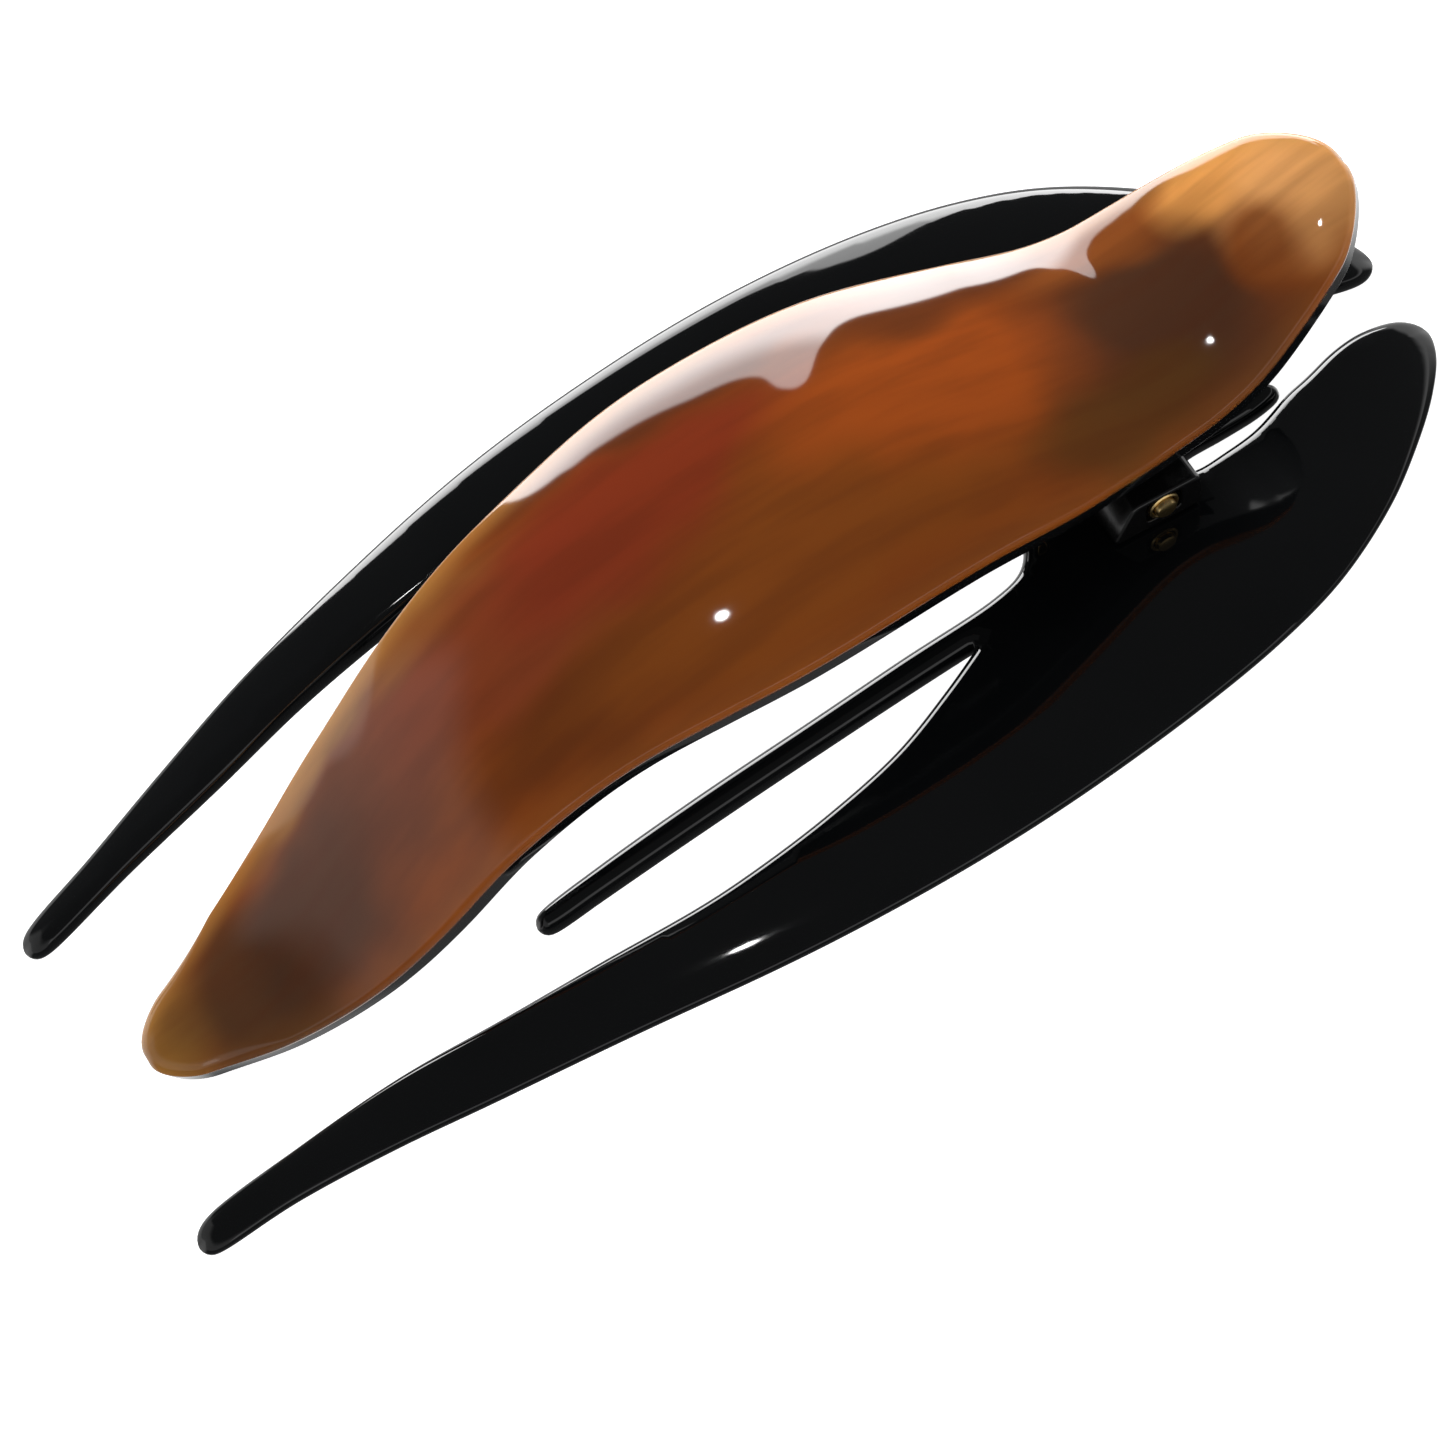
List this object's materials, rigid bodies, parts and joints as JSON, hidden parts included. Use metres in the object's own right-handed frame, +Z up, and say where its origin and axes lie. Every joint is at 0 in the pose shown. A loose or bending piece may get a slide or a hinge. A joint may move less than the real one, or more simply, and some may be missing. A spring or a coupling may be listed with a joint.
{
  "type": "beak hair clip",
  "caption": "Beak hair clip with a domed tortoise-pattern leaf sprung against an arched glossy black fork with long curved outer prongs and slim inner tines.",
  "frame": {"origin": "middle of the bounding box on the surface that the clip lies on", "axes": "+X from the prong tips to the handle horns, +Y across the clip, parallel to the hinge pin, +Z up from the table"},
  "size_m": [0.1329, 0.0598, 0.0328],
  "materials": {
    "black_acetate": "hand-polished high gloss",
    "tortoise_acetate": "hand-polished high gloss, clouded amber and brown",
    "moulded_black": "moulded, satin gloss",
    "brass": "gold-coloured, polished"
  },
  "bodies": {
    "fork": {"fork_plate": "black_acetate", "hinge_block_near": "moulded_black", "hinge_block_far": "moulded_black", "block_rivet_near_1": "brass", "block_rivet_near_2": "brass", "block_rivet_far_1": "brass", "block_rivet_far_2": "brass", "hinge_pin": "brass", "pin_washer_near": "brass", "pin_washer_far": "brass", "torsion_spring": "brass"},
    "upper_jaw": {"leaf_cover": "tortoise_acetate", "leaf_liner": "black_acetate", "hinge_saddle": "moulded_black", "saddle_rivet_near_1": "brass", "saddle_rivet_near_2": "brass", "saddle_rivet_far_1": "brass", "saddle_rivet_far_2": "brass"}
  },
  "joints": [
    {"name": "jaw_hinge", "type": "hinge", "parent": "fork", "child": "upper_jaw", "pos_m": [0.0358, 0, 0.0142], "axis": [0, 1, 0], "range_deg": [0, 40], "stiffness_Nm_per_rad": 0.25, "springref_deg": -28.65, "deforming": ["torsion_spring"]}
  ]
}
